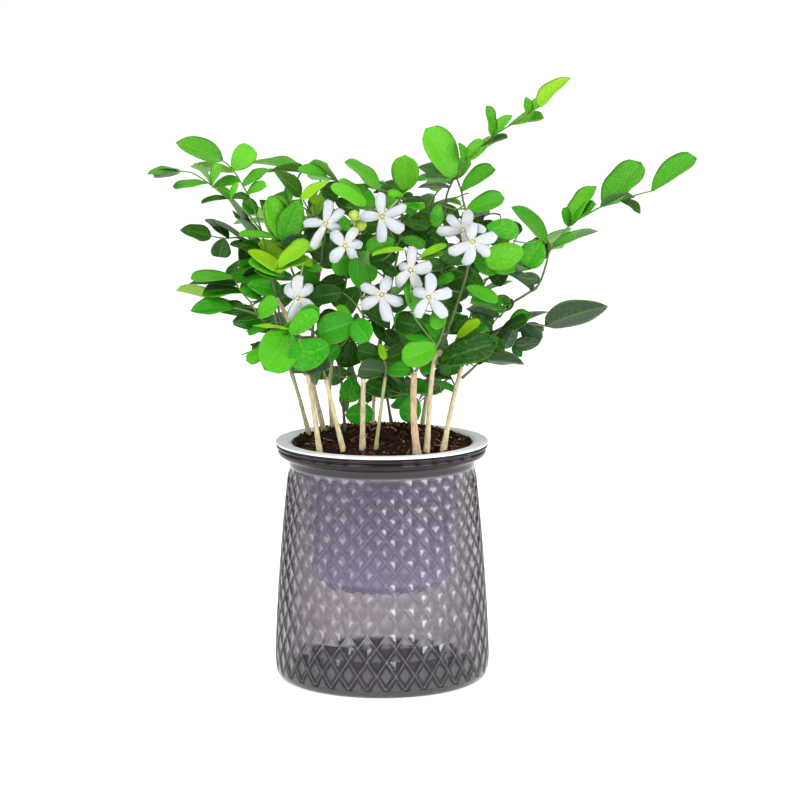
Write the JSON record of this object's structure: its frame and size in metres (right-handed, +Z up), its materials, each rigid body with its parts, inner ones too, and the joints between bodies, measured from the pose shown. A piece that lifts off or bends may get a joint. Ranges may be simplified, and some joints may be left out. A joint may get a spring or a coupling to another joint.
{
  "type": "potted flowering shrub",
  "caption": "Bushy orange jasmine with pinnate glossy leaves and white five-petalled blooms, in soil in a white liner inside a translucent pot with moulded diamonds.",
  "frame": {"origin": "centre of the pot's foot, on the floor that it stands on", "axes": "+Z up along the pot's axis, -Y towards the viewer of the plant's front, +X to the viewer's right"},
  "size_m": [0.3339, 0.1915, 0.3635],
  "materials": {
    "pot_plastic": "glossy, translucent, tinted grey-violet, moulded in raised diamonds",
    "liner_plastic": "satin white",
    "potting_soil": "matte, crumbly, dark brown with pale fibres",
    "pale_bark": "matte, pale beige bark",
    "reddish_bark": "matte, reddish tan bark",
    "green_bark": "matte, greenish young bark",
    "dark_bark": "matte, dark olive bark",
    "leaf_green": "glossy mid green, paler below",
    "leaf_dark": "glossy deep green, paler below",
    "leaf_bright": "glossy fresh green, paler below",
    "petal_white": "soft satin white",
    "heart_cream": "matte cream to olive",
    "bud_lime": "satin lime"
  },
  "bodies": {
    "root": {"outer_pot": "pot_plastic", "liner": "liner_plastic", "soil": "potting_soil", "stem_front_left_outer": "pale_bark", "stem_front_left_inner": "pale_bark", "stem_centre": "pale_bark", "stem_thick": "reddish_bark", "stem_right_upright": "pale_bark", "stem_right_leaning": "pale_bark", "stem_back_left_green": "green_bark", "stem_back_left_speckled": "pale_bark", "stem_back_left_pale": "pale_bark", "stem_thin_dark": "dark_bark", "stem_seedling": "green_bark", "stem_back_centre": "pale_bark", "stem_back_right_pale": "green_bark", "stem_back_dark": "dark_bark", "shoot_left_crown": "leaf_green", "shoot_left_dark": "leaf_dark", "shoot_left_low": "leaf_green", "shoot_front_low_left": "leaf_bright", "shoot_front_left": "leaf_green", "shoot_centre": "leaf_green", "shoot_seedling": "leaf_dark", "shoot_front_centre": "leaf_bright", "shoot_right_low": "leaf_green", "shoot_low_petiole": "leaf_dark", "shoot_right_outer": "leaf_green", "shoot_right_arm": "leaf_green", "shoot_right_crown": "leaf_green", "shoot_mid_right": "leaf_green", "shoot_mid_top": "leaf_green", "shoot_upper_mid": "leaf_green", "shoot_heart_pair": "leaf_bright", "shoot_back_left": "leaf_dark", "shoot_back_mid_left": "leaf_dark", "shoot_back_centre": "leaf_dark", "shoot_back_mid_right": "leaf_dark", "shoot_back_right": "leaf_dark", "shoot_back_high": "leaf_dark", "bloom_1_petals": "petal_white", "bloom_1_heart": "heart_cream", "bloom_2_petals": "petal_white", "bloom_2_heart": "heart_cream", "bloom_3_petals": "petal_white", "bloom_3_heart": "heart_cream", "bloom_4_petals": "petal_white", "bloom_4_heart": "heart_cream", "bloom_5_petals": "petal_white", "bloom_5_heart": "heart_cream", "bloom_6_petals": "petal_white", "bloom_6_heart": "heart_cream", "bloom_7_petals": "petal_white", "bloom_7_heart": "heart_cream", "bloom_8_petals": "petal_white", "bloom_8_heart": "heart_cream", "bloom_9_petals": "petal_white", "bloom_9_heart": "heart_cream", "bud_1": "bud_lime", "bud_2": "bud_lime"}
  },
  "joints": []
}
